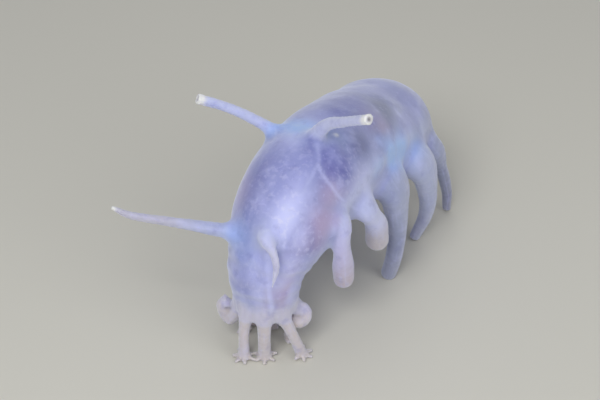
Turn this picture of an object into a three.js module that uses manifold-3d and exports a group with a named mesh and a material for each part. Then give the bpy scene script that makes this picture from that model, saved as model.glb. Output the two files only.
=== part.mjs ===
// Sea pig, a deep-sea sea cucumber, walking on its tube feet with its head bent down to the floor.
// Millimetres, +Z up. The head points along -Y and the animal's left side is +X.
// The flesh is one soft body, parted by thin cuts where its named parts begin.

import * as THREE from "three";
import { mergeVertices } from "three/addons/utils/BufferGeometryUtils.js";
import Module from "manifold-3d";

const wasm = await Module();
wasm.setup();

// Where the part's origin lies on the floor, in the frame that the tables below use.
const STANCE_CENTRE = new THREE.Vector3(-12, 56.2, 0);

const CUT = 0.3; // gap between two pieces of flesh
const AXIS_CUT = 0.6; // the same gap at the body's axis, as it closes up inside a bend
const BODY_SIDES = 24;
const RINGS_PER_STATION = 4;
const CAP_RINGS = 6;
const TIP_RINGS = 2;
const MERGE_DISTANCE = 1e-4;
const AT_AXIS = 1e-6; // a distance from the axis that counts as none
const QUARTER_TURN = Math.PI / 2;
const FLOOR_SPAN = 400;
const FLOOR_DEPTH = 40;
const SOLE_SQUARENESS = 0.82; // under 1 flattens the belly between the two rows of feet

// The body from mouth to tail: middle of the section, then half width, back and belly heights.
const STATIONS = [
  { name: "mouth", at: [-2.7, 5, 18.5], half: 10.8, back: 10.4, belly: 10.7 },
  { name: "collar", at: [-2.6, 5.4, 24], half: 11.9, back: 11, belly: 11.5 },
  { name: "neck", at: [-2.7, 7.5, 35], half: 14.1, back: 13, belly: 13.5 },
  { name: "shoulder", at: [-1.2, 15, 46.5], half: 18.2, back: 16.5, belly: 15.5 },
  { name: "chest", at: [0, 29, 54], half: 20.2, back: 19.5, belly: 19 },
  { name: "middle", at: [0.7, 50, 54.5], half: 21.2, back: 19.5, belly: 20.5 },
  { name: "loin", at: [1, 73, 49], half: 21.6, back: 19, belly: 19 },
  { name: "rump", at: [1, 96, 42], half: 21.4, back: 18.5, belly: 17 },
  { name: "tail", at: [1, 122, 36], half: 20.5, back: 18, belly: 16 },
];
const LAST = STATIONS.length - 1;
const MOUTH_CAP = 0.35; // share of the first stretch that rounds off the mouth end
const TAIL_CAP = 0.95; // share of the last stretch that rounds off the tail end

// Named stretches of the body, as places along the stations.
const STRETCHES = [
  ["head", 0, 1.7],
  ["trunk_front", 1.7, 3.7],
  ["trunk_middle", 3.7, 5.6],
  ["trunk_rear", 5.6, LAST],
];

// A smooth curve through the points. Its slope at each is half the way between its neighbours.
function smoothCurve(points) {
  return new THREE.CatmullRomCurve3(points, false, "catmullrom", 0.5);
}
const axisCurve = smoothCurve(STATIONS.map((s) => new THREE.Vector3(...s.at)));
const sizeCurve = smoothCurve(STATIONS.map((s) => new THREE.Vector3(s.half, s.back, s.belly)));

// The rounding of the two ends: the share of full size at a place, and how far the skin there
// faces off the end, -1 at the mouth and 1 at the tail.
function rounding(place) {
  const mouth = 1 - Math.min(1, place / MOUTH_CAP);
  const tail = 1 - Math.min(1, (LAST - place) / TAIL_CAP);
  const share = Math.sqrt(Math.max(0, 1 - mouth ** 2)) * Math.sqrt(Math.max(0, 1 - tail ** 2));
  return { share, facing: tail - mouth };
}

// A point of the body: place along the stations, angle round it (0 left flank, 90 back,
// 180 right flank, -90 sole), depth as a share of the radius, and extra skin in millimetres.
function bodyPoint(place, degrees, depth = 1, extra = 0) {
  const t = THREE.MathUtils.clamp(place / LAST, 0, 1);
  const along = axisCurve.getTangent(t);
  const [half, back, belly] = sizeCurve.getPoint(t).toArray();
  const { share, facing } = rounding(place);
  const centre = axisCurve.getPoint(t).addScaledVector(along, extra * facing);
  const side = new THREE.Vector3(1, 0, 0).addScaledVector(along, -along.x).normalize();
  const dorsal = new THREE.Vector3().crossVectors(side, along);
  const angle = THREE.MathUtils.degToRad(degrees);
  const dorsalHalf = Math.sin(angle) > 0;
  const squareness = dorsalHalf ? 1 : SOLE_SQUARENESS;
  const across = Math.sign(Math.cos(angle)) * Math.abs(Math.cos(angle)) ** squareness;
  const height = dorsalHalf ? back : belly;
  return centre
    .addScaledVector(side, (half + extra) * share * depth * across)
    .addScaledVector(dorsal, (height + extra) * share * depth * Math.sin(angle));
}

// Places for rings between two ends, closer together where an end is rounded.
function ringPlaces(from, to) {
  const places = [];
  const rounded = (count, start, end) => {
    for (let i = 0; i < count; i += 1)
      places.push(start + (end - start) * (1 - Math.cos((i / count) * QUARTER_TURN)));
  };
  const evenFrom = from === 0 ? MOUTH_CAP : from;
  const evenTo = to === LAST ? LAST - TAIL_CAP : to;
  if (from === 0) rounded(CAP_RINGS, 0, MOUTH_CAP);
  const count = Math.max(1, Math.round((evenTo - evenFrom) * RINGS_PER_STATION));
  for (let i = 0; i <= count; i += 1)
    places.push(evenFrom + ((evenTo - evenFrom) * i) / count);
  if (to === LAST) {
    const tail = [];
    for (let i = 1; i <= CAP_RINGS; i += 1)
      tail.push(LAST - TAIL_CAP * (1 - Math.sin((i / CAP_RINGS) * QUARTER_TURN)));
    places.push(...tail);
  }
  return places;
}

// A lathe profile whose height is the ring's number, so that each vertex says which ring it is on.
function ringedLathe(ringCount, sides, pointedStart, pointedEnd) {
  const profile = [];
  if (!pointedStart) profile.push(new THREE.Vector2(0, 0));
  for (let i = 0; i < ringCount; i += 1) {
    const tip = (i === 0 && pointedStart) || (i === ringCount - 1 && pointedEnd);
    profile.push(new THREE.Vector2(tip ? 0 : 1, i));
  }
  if (!pointedEnd) profile.push(new THREE.Vector2(0, ringCount - 1));
  return new THREE.LatheGeometry(profile, sides);
}

// Moves every vertex of a geometry to where the function says.
function reshape(geometry, move) {
  const position = geometry.getAttribute("position");
  const v = new THREE.Vector3();
  for (let i = 0; i < position.count; i += 1) {
    v.fromBufferAttribute(position, i);
    const moved = move(v);
    position.setXYZ(i, moved.x, moved.y, moved.z);
  }
  return geometry;
}

// A closed stretch of the body between two places, with flat cut ends.
function bodyStretch(from, to, extra = 0) {
  const places = ringPlaces(from, to);
  const geometry = ringedLathe(places.length, BODY_SIDES, from === 0, to === LAST);
  return reshape(geometry, (v) => {
    const radius = Math.hypot(v.x, v.z);
    const degrees = THREE.MathUtils.radToDeg(Math.atan2(v.z, v.x));
    const place = places[Math.round(v.y)];
    if (radius < AT_AXIS) return bodyPoint(place, 0, 0);
    return bodyPoint(place, degrees, 1, extra);
  });
}

// A closed limb along a curve, with a ball end past the curve's last point. Each size is a pair:
// the half width along the given direction, and the half width square to it.
function limb(points, sizes, widthDirection, sides, rings, tipRings = TIP_RINGS) {
  const curve = smoothCurve(points);
  const [tipWidth, tipThickness] = sizes[sizes.length - 1];
  const tipRadius = (tipWidth + tipThickness) / 2;
  const frames = [];
  for (let i = 0; i <= rings + tipRings; i += 1) {
    const t = Math.min(1, i / rings);
    const turn = (Math.max(0, i - rings) / tipRings) * QUARTER_TURN;
    const share = t * (sizes.length - 1);
    const low = Math.min(Math.floor(share), sizes.length - 2);
    const size = [0, 1].map((k) => THREE.MathUtils.lerp(sizes[low][k], sizes[low + 1][k], share - low));
    const along = curve.getTangent(t);
    const across = new THREE.Vector3().crossVectors(along, widthDirection).normalize();
    const wide = new THREE.Vector3().crossVectors(across, along);
    const centre = curve.getPoint(t).addScaledVector(along, tipRadius * Math.sin(turn));
    frames.push({ centre, wide, across, size: size.map((r) => r * Math.cos(turn)) });
  }
  const geometry = ringedLathe(frames.length, sides, false, true);
  return reshape(geometry, (v) => {
    const frame = frames[Math.round(v.y)];
    return frame.centre
      .clone()
      .addScaledVector(frame.wide, v.x * frame.size[0])
      .addScaledVector(frame.across, v.z * frame.size[1]);
  });
}

// A three.js geometry as a solid to join and cut, with its faces turned outwards.
function solid(geometry) {
  const bare = new THREE.BufferGeometry();
  bare.setAttribute("position", geometry.getAttribute("position"));
  bare.setIndex(geometry.getIndex());
  const merged = mergeVertices(bare, MERGE_DISTANCE);
  const vertProperties = merged.attributes.position.array;
  const triVerts = new Uint32Array(merged.index.array);
  const make = () => new wasm.Manifold(new wasm.Mesh({ numProp: 3, vertProperties, triVerts }));
  const made = make();
  if (made.volume() > 0) return made;
  for (let i = 0; i < triVerts.length; i += 3) triVerts.subarray(i, i + 3).reverse();
  return make();
}

// The largest single body of a cut solid.
function mainBody(cut) {
  return cut.decompose().sort((a, b) => b.volume() - a.volume())[0];
}

function geometryOf(made) {
  const mesh = made.getMesh();
  const geometry = new THREE.BufferGeometry();
  const position = new THREE.BufferAttribute(new Float32Array(mesh.vertProperties), 3);
  geometry.setAttribute("position", position);
  geometry.setIndex(new THREE.BufferAttribute(new Uint32Array(mesh.triVerts), 1));
  geometry.computeVertexNormals();
  return geometry;
}

const flesh = {
  body: new THREE.MeshStandardMaterial({ color: 0xa6a8dc, roughness: 0.45, metalness: 0 }),
  feet: new THREE.MeshStandardMaterial({ color: 0xb9bede, roughness: 0.45, metalness: 0 }),
  papillae: new THREE.MeshStandardMaterial({ color: 0xc3c8ea, roughness: 0.4, metalness: 0 }),
  tentacles: new THREE.MeshStandardMaterial({ color: 0xc8c4cf, roughness: 0.5, metalness: 0 }),
};

const seaPig = new THREE.Group();
seaPig.name = "sea_pig";
seaPig.position.copy(STANCE_CENTRE).negate();

function addMesh(name, geometry, material) {
  const mesh = new THREE.Mesh(geometry, material);
  mesh.name = name;
  seaPig.add(mesh);
}

const bodyWithSkin = solid(bodyStretch(0, LAST, CUT));
const belowFloor = solid(
  new THREE.BoxGeometry(FLOOR_SPAN, FLOOR_SPAN, FLOOR_DEPTH).translate(0, 0, -FLOOR_DEPTH / 2),
);

// The body, in stretches
const NEARBY = 0.1; // stations to either side of a place between which the axis is measured
function millimetresPerStation(place) {
  const before = axisCurve.getPoint((place - NEARBY) / LAST);
  const after = axisCurve.getPoint((place + NEARBY) / LAST);
  return before.distanceTo(after) / (2 * NEARBY);
}
for (const [name, from, to] of STRETCHES) {
  const start = from === 0 ? 0 : from + AXIS_CUT / 2 / millimetresPerStation(from);
  const end = to === LAST ? LAST : to - AXIS_CUT / 2 / millimetresPerStation(to);
  addMesh(name, geometryOf(solid(bodyStretch(start, end))), flesh.body);
}

// A limb cut clear of the body and of the floor.
function fleshLimb(parts) {
  const whole = parts.map(solid).reduce((a, b) => a.add(b));
  return geometryOf(mainBody(whole.subtract(bodyWithSkin).subtract(belowFloor)));
}

const vector = (xyz) => new THREE.Vector3(...xyz);
const ALONG_BODY = new THREE.Vector3(0, 1, 0);
const UPWARD = new THREE.Vector3(0, 0.3, 1).normalize();

// Tube feet: where each leaves the body, the points that it passes and the middle of its tip.
// The two front ones of the left side are lifted off the floor.
const LEFT_FEET = [
  {
    place: 3.7,
    angle: 10,
    through: [[20, 20.6, 52.5], [20.6, 19.6, 43.4], [20, 22.7, 32], [19.4, 25, 24.5]],
    sizes: [[4, 3], [3, 2.8], [3.4, 3.2], [4.1, 3.9], [3.9, 3.8]],
  },
  {
    place: 4.5,
    angle: 0,
    through: [[21.2, 37.6, 48.3], [22.9, 40.8, 42.3], [23.3, 44.9, 35.8], [22.8, 47.4, 27.5]],
    sizes: [[7.6, 4.5], [5.3, 3.5], [4.1, 3.7], [4.4, 4.3], [4.3, 4.3]],
  },
  {
    place: 5.45,
    angle: -8,
    through: [[22.6, 60.8, 43], [24.4, 61.6, 32.5], [25, 61.9, 22], [24.4, 61.3, 11], [22.4, 62, 2.2]],
    sizes: [[9, 6], [8.4, 5.2], [5.6, 4.4], [3.6, 3.5], [3.3, 3.2], [3.1, 3]],
  },
  {
    place: 6.4,
    angle: -10,
    through: [[24.3, 84.5, 39], [26.6, 88.5, 25], [26, 90, 13], [22.6, 88.8, 2]],
    sizes: [[9, 6], [8, 5], [4.3, 3.8], [3.1, 2.9], [2.3, 2.2]],
  },
  {
    place: 7.15,
    angle: -12,
    through: [[22.4, 103.5, 34], [24.4, 108.5, 23], [26.2, 112.3, 10], [26.8, 112, 2]],
    sizes: [[7, 5], [5, 3.8], [2.8, 2.5], [2.3, 2.1], [1.7, 1.7]],
  },
];
// The right feet all stand: where each leaves the body, and where its sole is.
const RIGHT_FEET = [
  { place: 3.7, sole: [-17.5, 23] },
  { place: 4.6, sole: [-19.5, 42] },
  { place: 5.5, sole: [-21, 64] },
  { place: 6.4, sole: [-20.5, 88] },
  { place: 7.3, sole: [-19, 111] },
];
const RIGHT_FOOT_SIZES = [[7, 6.5], [5.2, 4.8], [3.6, 3.4], [2.8, 2.8]];
const RIGHT_ROOT_ANGLE = 212;
const HIP_ANGLE = 217; // where a right foot leaves the body, just under its root
const HIP_DEPTH = 1.05;
const HIP_DROP = [-1, 0, -5]; // from there to the first point passed
const SHIN = [-3, -1, 16]; // the next one, as seen from the sole
const SOLE_HEIGHT = 2; // of the middle of a foot's tip, which the floor then cuts flat
const ROOT_DEPTH = 0.6; // how far out from the body's axis a foot begins, as a share of its radius
const FOOT_SIDES = 12;
const FOOT_RINGS = 8;

function addFoot(name, root, through, sizes) {
  const foot = limb([root, ...through.map(vector)], sizes, ALONG_BODY, FOOT_SIDES, FOOT_RINGS);
  addMesh(name, fleshLimb([foot]), flesh.feet);
}
LEFT_FEET.forEach((foot, i) => {
  const root = bodyPoint(foot.place, foot.angle, ROOT_DEPTH);
  addFoot(`foot_left_${i + 1}`, root, foot.through, foot.sizes);
});
RIGHT_FEET.forEach((foot, i) => {
  const root = bodyPoint(foot.place, RIGHT_ROOT_ANGLE, ROOT_DEPTH);
  const hip = bodyPoint(foot.place, HIP_ANGLE, HIP_DEPTH).add(vector(HIP_DROP));
  const [x, y] = foot.sole;
  const shin = vector([x, y, 0]).add(vector(SHIN));
  const through = [hip.toArray(), shin.toArray(), [x, y, SOLE_HEIGHT]];
  addFoot(`foot_right_${i + 1}`, root, through, RIGHT_FOOT_SIZES);
});

// Long soft papillae of the back, in two pairs: the points that each passes and its radii
const PAPILLAE = [
  {
    name: "papilla_front_right",
    place: 2.62,
    angle: 133,
    through: [[-22.8, 0.2, 49.9], [-36.1, -4.2, 51.5], [-47.5, -7.9, 52.8], [-53.8, -9.2, 54.9]],
    radii: [3.2, 2.2, 1.65, 1.45, 0.75],
  },
  {
    name: "papilla_front_left",
    place: 2.83,
    angle: 88,
    through: [[2.2, -1.7, 53.5], [5.7, -3.7, 50], [7.1, -5, 44.6], [5.8, -6.2, 36.6]],
    radii: [3.2, 2.5, 1.8, 1.65, 0.7],
  },
  {
    name: "papilla_rear_right",
    place: 4.5,
    angle: 130,
    through: [[-18.3, 36.7, 72.7], [-27.4, 30.8, 79.9], [-35.8, 24.4, 85.1]],
    radii: [3.6, 2.1, 1.75, 1.8],
  },
  {
    name: "papilla_rear_left",
    place: 4.36,
    angle: 90,
    through: [[8.3, 32, 81.6], [17.2, 28.7, 87.6], [26.7, 24.7, 93.3]],
    radii: [3.6, 2.3, 1.75, 1.75],
  },
];
const PAPILLA_ROOT_DEPTH = 0.7;
const PAPILLA_SIDES = 8;
const PAPILLA_RINGS = 7;
for (const { name, place, angle, through, radii } of PAPILLAE) {
  const points = [bodyPoint(place, angle, PAPILLA_ROOT_DEPTH), ...through.map(vector)];
  const sizes = radii.map((r) => [r, r]);
  const papilla = limb(points, sizes, UPWARD, PAPILLA_SIDES, PAPILLA_RINGS);
  addMesh(name, fleshLimb([papilla]), flesh.papillae);
}

// Feeding tentacles round the mouth. Bearings are degrees round the mouth, 0 at the front and
// 90 at the animal's left. A tentacle stands on the floor at its reach from the mouth's middle,
// or is raised and curled up along the points given.
const MOUTH = vector(STATIONS[0].at);
const RIM_RADIUS = 7.6;
const RIM_DEPTH = 3; // how deep in the head the stalks begin
const PALM_HEIGHT = 1.3;
const DIGITS = 5;
const DIGIT_SIZES = [[1, 0.9], [0.65, 0.65]];
const DIGIT_DROOP = -0.15;
const DIGIT_SIDES = 5;
const KNEE_SHARE = 0.45; // how far down a standing stalk its bend is
const KNEE_OUT = 1.2; // and how far that bend stands out from a straight line
const STALK_SIDES = 8;
const STALK_RINGS = 5;
const CURL_RINGS = 8;
// Stalk radii from root to palm, degrees between neighbouring digits and a digit's length
const STOUT = { radii: [3, 2.05, 1.9, 2.15], spread: 50, digitLength: 3.8 };
const BROAD = { radii: [3, 2.4, 2.2, 2.4], spread: 50, digitLength: 4 };
const SLIM = { radii: [1.7, 1.7, 1.6, 1.6], spread: 52, digitLength: 2.7 };
const CURLED = { radii: [2, 2.1, 2.2, 2.2, 2.2, 2], spread: 34, digitLength: 2.4 };
const CLENCHED = { radii: [2.3, 2.2, 2.8, 3.3], spread: 36, digitLength: 3.4 };
const TENTACLES = [
  { bearing: -21, reach: 10, form: STOUT },
  { bearing: 26, reach: 6.6, form: BROAD },
  { bearing: 66, reach: 14.4, tipBearing: 92, form: STOUT },
  {
    bearing: 98,
    curl: [[7.6, 9.8, 18], [10.4, 10.9, 16.9], [11.3, 9.9, 14.2], [9.6, 8.5, 12.5], [7.8, 8.2, 13]],
    form: CURLED,
  },
  { bearing: 132, reach: 9, form: SLIM },
  { bearing: 162, reach: 12.5, form: SLIM },
  { bearing: 192, reach: 9.8, form: SLIM },
  { bearing: 222, reach: 12.5, form: SLIM },
  { bearing: 252, reach: 10, form: SLIM },
  {
    bearing: 298,
    curl: [[-13.4, 0.5, 12.7], [-15.9, 1.1, 13.8], [-16.5, 1.7, 16.6]],
    form: CLENCHED,
  },
];

// The direction away from the mouth at a bearing.
function outward(bearing) {
  const angle = THREE.MathUtils.degToRad(bearing);
  return new THREE.Vector3(Math.sin(angle), -Math.cos(angle), 0);
}

function fromMouth(bearing, radius, height) {
  return outward(bearing).multiplyScalar(radius).add(new THREE.Vector3(MOUTH.x, MOUTH.y, height));
}

// Small fingers spread like a fan from the middle of the palm.
function digits(palm, heading, sideways, form) {
  return Array.from({ length: DIGITS }, (_, k) => {
    const turn = THREE.MathUtils.degToRad((k - (DIGITS - 1) / 2) * form.spread);
    const end = palm
      .clone()
      .addScaledVector(heading, form.digitLength * Math.cos(turn))
      .addScaledVector(sideways, form.digitLength * Math.sin(turn));
    return limb([palm, end], DIGIT_SIZES, UPWARD, DIGIT_SIDES, 1, 1);
  });
}

TENTACLES.forEach(({ bearing, reach, tipBearing = bearing, curl, form }, i) => {
  const root = fromMouth(bearing, RIM_RADIUS, MOUTH.z + RIM_DEPTH);
  const bends = curl?.map(vector);
  const palm = curl ? bends.at(-1) : fromMouth(tipBearing, reach, PALM_HEIGHT);
  const knee = root.clone().lerp(palm, KNEE_SHARE).addScaledVector(outward(bearing), KNEE_OUT);
  const points = curl ? [root, ...bends] : [root, knee, palm];
  const sizes = form.radii.map((r) => [r, r]);
  const stalk = limb(points, sizes, ALONG_BODY, STALK_SIDES, curl ? CURL_RINGS : STALK_RINGS);
  const heading = curl ? palm.clone().sub(bends.at(-2)).normalize() : outward(tipBearing);
  if (!curl) heading.z = DIGIT_DROOP;
  const sideways = curl ? outward(bearing).cross(heading).normalize() : outward(tipBearing + 90);
  const fingers = digits(palm, heading, sideways, form);
  addMesh(`tentacle_${i + 1}`, fleshLimb([stalk, ...fingers]), flesh.tentacles);
});

// The ring of lips under the head
const LIP_RADIUS = 3.4;
const LIP_THICKNESS = 1.3;
const LIP_SIDES = 6;
const LIP_RINGS = 12;
const lips = new THREE.TorusGeometry(LIP_RADIUS, LIP_THICKNESS, LIP_SIDES, LIP_RINGS);
lips.translate(MOUTH.x, MOUTH.y, MOUTH.z - LIP_THICKNESS - CUT);
addMesh("mouth_lips", lips, flesh.tentacles);

export default seaPig;
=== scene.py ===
"""Sea pig, a deep-sea sea cucumber, walking on its tube feet with its head bent to the floor.

The whole animal is one soft skin. The body is a surface over place and angle, and each foot,
papilla and tentacle is a profile carried along a curve. These closed surfaces are fused to one
skin, the hollows where a limb leaves the body are filled out, and folds, wrinkles and swellings
are pushed into it. Colour amounts are worked out for every point of the skin and one flesh
material mixes them. The tables are in millimetres, in the frame where the animal was laid out.
"""

import math

import bpy
import numpy as np
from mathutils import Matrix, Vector


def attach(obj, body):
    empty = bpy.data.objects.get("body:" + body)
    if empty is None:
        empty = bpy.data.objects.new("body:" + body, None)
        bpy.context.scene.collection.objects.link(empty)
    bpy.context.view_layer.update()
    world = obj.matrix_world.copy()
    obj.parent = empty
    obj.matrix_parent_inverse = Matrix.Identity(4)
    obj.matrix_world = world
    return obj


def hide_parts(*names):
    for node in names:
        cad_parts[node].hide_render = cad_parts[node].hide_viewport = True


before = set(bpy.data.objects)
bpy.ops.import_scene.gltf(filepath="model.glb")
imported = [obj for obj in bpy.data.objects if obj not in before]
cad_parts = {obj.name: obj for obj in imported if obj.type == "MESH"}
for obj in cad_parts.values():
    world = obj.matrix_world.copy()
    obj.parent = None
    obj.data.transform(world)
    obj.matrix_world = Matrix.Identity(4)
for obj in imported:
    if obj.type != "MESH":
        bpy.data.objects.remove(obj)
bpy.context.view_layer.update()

MM = 0.001
STANCE_CENTRE = np.array([-12.0, 56.2, 0.0])  # where the part's origin lies in the tables' frame
PIECE = 0.00066  # edge of one face of the fused skin, in metres
TINY = 1e-12  # these two keep divisions away from nothing
SMALL = 1e-6


# Curves and soft steps


def spline(points, share):
    """Smooth curve through the points: between two of them a cubic whose slope at each point is
    half the way from the point before to the point after. share runs from 0 to 1."""
    p = np.asarray(points, float)
    p = np.vstack([2 * p[0] - p[1], p, 2 * p[-1] - p[-2]])
    spans = len(p) - 3
    x = np.clip(np.asarray(share, float), 0, 1) * spans
    low = np.minimum(x.astype(int), spans - 1)
    f = (x - low)[..., None]
    a, b, c, d = p[low], p[low + 1], p[low + 2], p[low + 3]
    bend = 2 * a - 5 * b + 4 * c - d
    twist = 3 * b - a - 3 * c + d
    return 0.5 * (2 * b + (c - a) * f + bend * f**2 + twist * f**3)


def unit(v):
    """A direction divided by its length."""
    return v / np.maximum(np.linalg.norm(v, axis=-1, keepdims=True), TINY)


def heading(points, share, step=1e-4):
    """Direction of the spline: the difference of two points a tiny step apart, made unit length."""
    share = np.asarray(share, float)
    ahead = spline(points, np.clip(share + step, 0, 1))
    return unit(ahead - spline(points, np.clip(share - step, 0, 1)))


def ease(low, high, value):
    """0 below low, 1 above high, and a smooth S between."""
    x = np.clip((value - low) / (high - low), 0, 1)
    return x * x * (3 - 2 * x)


def bump_at(distance, width):
    """1 at distance 0 and a bell falling off over the width."""
    return np.exp(-((distance / width) ** 2))


NOISE_CELLS = 32


def lumps(points, size, seed):
    """Soft random lumps about size across, from -1 to 1: random values on a cubic lattice,
    blended between the eight corners round each point with eased shares."""
    table = np.random.default_rng(seed).uniform(-1, 1, (NOISE_CELLS,) * 3)
    x = np.asarray(points, float) / size
    low = np.floor(x).astype(int)
    f = x - low
    f = f * f * (3 - 2 * f)
    total = np.zeros(len(x))
    for corner in range(8):
        offset = np.array([corner & 1, corner >> 1 & 1, corner >> 2 & 1])
        i, j, k = ((low + offset) % NOISE_CELLS).T
        total += table[i, j, k] * np.prod(np.where(offset, f, 1 - f), axis=1)
    return total


# The body: place runs along the stations, angle goes round (0 left flank, 90 back, -90 sole)

STATIONS = [  # middle of the section, then half width, back and belly heights
    ([-2.7, 5, 18.5], 10.8, 10.4, 10.7),  # mouth
    ([-2.6, 5.4, 24], 11.9, 11, 11.5),  # collar
    ([-2.7, 7.5, 35], 14.1, 13, 13.5),  # neck
    ([-1.2, 15, 46.5], 18.2, 16.5, 15.5),  # shoulder
    ([0, 29, 54], 20.2, 19.5, 19),  # chest
    ([0.7, 50, 54.5], 21.2, 19.5, 20.5),  # middle
    ([1, 73, 49], 21.6, 19, 19),  # loin
    ([1, 96, 42], 21.4, 18.5, 17),  # rump
    ([1, 122, 36], 20.5, 18, 16),  # tail
]
LAST = len(STATIONS) - 1
MOUTH_CAP = 0.35  # share of the first stretch that rounds off the mouth end
TAIL_CAP = 0.95  # share of the last stretch that rounds off the tail end
SOLE_SQUARENESS = 0.82  # under 1 flattens the belly between the two rows of feet
AXIS = np.array([s[0] for s in STATIONS], float)
SIZES = np.array([s[1:] for s in STATIONS], float)
GIRTH = 20.0  # mean radius of the trunk, which turns angles round it into millimetres


def body_frame(place):
    """Three directions at a place of the axis: along it, to the animal's left and to its back."""
    along = heading(AXIS, place / LAST)
    side = unit(np.array([1.0, 0, 0]) - along * along[..., :1])
    return along, side, np.cross(side, along)


def end_rounding(place):
    """Share of full size at a place: the root of 1 minus the square of how far it is into an end."""
    mouth = 1 - np.minimum(1, place / MOUTH_CAP)
    tail = 1 - np.minimum(1, (LAST - place) / TAIL_CAP)
    return np.sqrt(np.maximum(0, 1 - mouth**2) * np.maximum(0, 1 - tail**2))


def section(place, angle):
    """The body's section as offsets to the left and to the back: an oval whose upper and lower
    halves have heights of their own, and whose lower half has its cosine raised to a power."""
    half, back, belly = np.moveaxis(spline(SIZES, place / LAST), -1, 0)
    share = end_rounding(place)
    upper = np.sin(angle) > 0
    power = np.where(upper, 1.0, SOLE_SQUARENESS)
    across = np.sign(np.cos(angle)) * np.abs(np.cos(angle)) ** power
    height = np.where(upper, back, belly)
    return half * share * across, height * share * np.sin(angle)


def body_point(place, degrees, depth=1.0):
    """Point of the body's surface, or nearer its axis where depth is under 1."""
    place, angle = np.broadcast_arrays(np.asarray(place, float), np.radians(degrees))
    _, side, dorsal = body_frame(place)
    left, up = section(place, angle)
    centre = spline(AXIS, place / LAST) - STANCE_CENTRE
    return centre + (side * left[..., None] + dorsal * up[..., None]) * depth


BODY_RINGS = 220
BODY_SIDES = 132


def body_surface():
    """Grid over place and angle, with the rings drawn together towards both ends."""
    even = np.linspace(0, np.pi, BODY_RINGS)
    place = LAST * (0.5 - 0.5 * np.cos(even))
    angle = np.linspace(0, 360, BODY_SIDES, endpoint=False)
    return body_point(place[:, None], angle[None, :])


# Limbs: a profile carried along a curve, closed at both ends

UPWARD = unit(np.array([0, 0.3, 1.0]))
ALONG_BODY = np.array([0, 1.0, 0])
ROOT_DEPTH = 0.6  # how far out from the axis a foot begins, as a share of the body's radius
PAPILLA_ROOT_DEPTH = 0.7

# Ends of a limb as steps (ahead, share of the tip's radius), in tip radii
BALL_END = [(math.sin(a), math.cos(a)) for a in np.radians([15, 30, 45, 60, 75, 87])]
BLUNT_END = [(0.25, 0.99), (0.45, 0.95), (0.62, 0.84), (0.74, 0.65), (0.79, 0.4), (0.8, 0.1)]
RING_END = [  # a swollen rim round a pit
    (0.2, 1.04), (0.45, 1.13), (0.7, 1.12), (0.88, 0.96), (0.9, 0.74),
    (0.7, 0.56), (0.35, 0.46), (-0.1, 0.38), (-0.35, 0.1),
]

FLARE = {"foot": 1.4, "papilla": 1.3, "tentacle": 1.1, "digit": 0.0}  # extra width at the body
FLARE_REACH = {"foot": 3.0, "papilla": 2.4, "tentacle": 2.6, "digit": 1.0}  # how soon it is lost
FLARE_ENDS = (0.25, 0.6)  # shares of the limb's length between which the last of it goes
LENGTH_SAMPLES = 40


class Limb:
    """One limb of the animal: its curve, its two half widths along the curve and its kind."""

    def __init__(self, kind, points, sizes, wide, end=BALL_END, tints=None):
        self.kind = kind
        self.points = np.asarray(points, float)
        self.sizes = np.asarray(sizes, float)
        self.wide = wide
        self.end = end
        self.tints = tints or {}
        steps = spline(self.points, np.linspace(0, 1, LENGTH_SAMPLES))
        self.length = np.linalg.norm(np.diff(steps, axis=0), axis=1).sum()

    def frames(self, share):
        """Centre, two directions square to the curve, the curve's direction and both half widths."""
        along = heading(self.points, share)
        across = unit(np.cross(along, self.wide))
        knots = np.linspace(0, 1, len(self.sizes))
        size = np.stack([np.interp(share, knots, column) for column in self.sizes.T], axis=-1)
        return spline(self.points, share), np.cross(across, along), across, along, size

    def surface(self, rings, sides):
        """Grid of rings: centre + wide * first half width * cos + across * second * sin, and
        past the last ring the steps of the limb's end, ahead along the curve."""
        share = np.linspace(0, 1, rings)
        centre, wide, across, along, size = self.frames(share)
        near_body = np.exp(-np.maximum(on_body(centre)[2], 0) / FLARE_REACH[self.kind])
        size = size + (FLARE[self.kind] * near_body * (1 - ease(*FLARE_ENDS, share)))[:, None]
        ahead, tip_share = np.array(self.end).T[..., None]
        centre = np.vstack([centre, centre[-1] + along[-1] * ahead * size[-1].mean()])
        size = np.vstack([size, size[-1] * tip_share])
        wide = np.vstack([wide, np.repeat(wide[-1:], len(ahead), axis=0)])
        across = np.vstack([across, np.repeat(across[-1:], len(ahead), axis=0)])
        turn = np.linspace(0, 2 * np.pi, sides, endpoint=False)[None, :, None]
        first = wide[:, None] * size[:, None, :1] * np.cos(turn)
        second = across[:, None] * size[:, None, 1:] * np.sin(turn)
        return centre[:, None] + first + second


def placed(points):
    """Points of the tables as points of the part: the centre of the stance taken off."""
    return [np.asarray(p, float) - STANCE_CENTRE for p in points]


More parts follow.
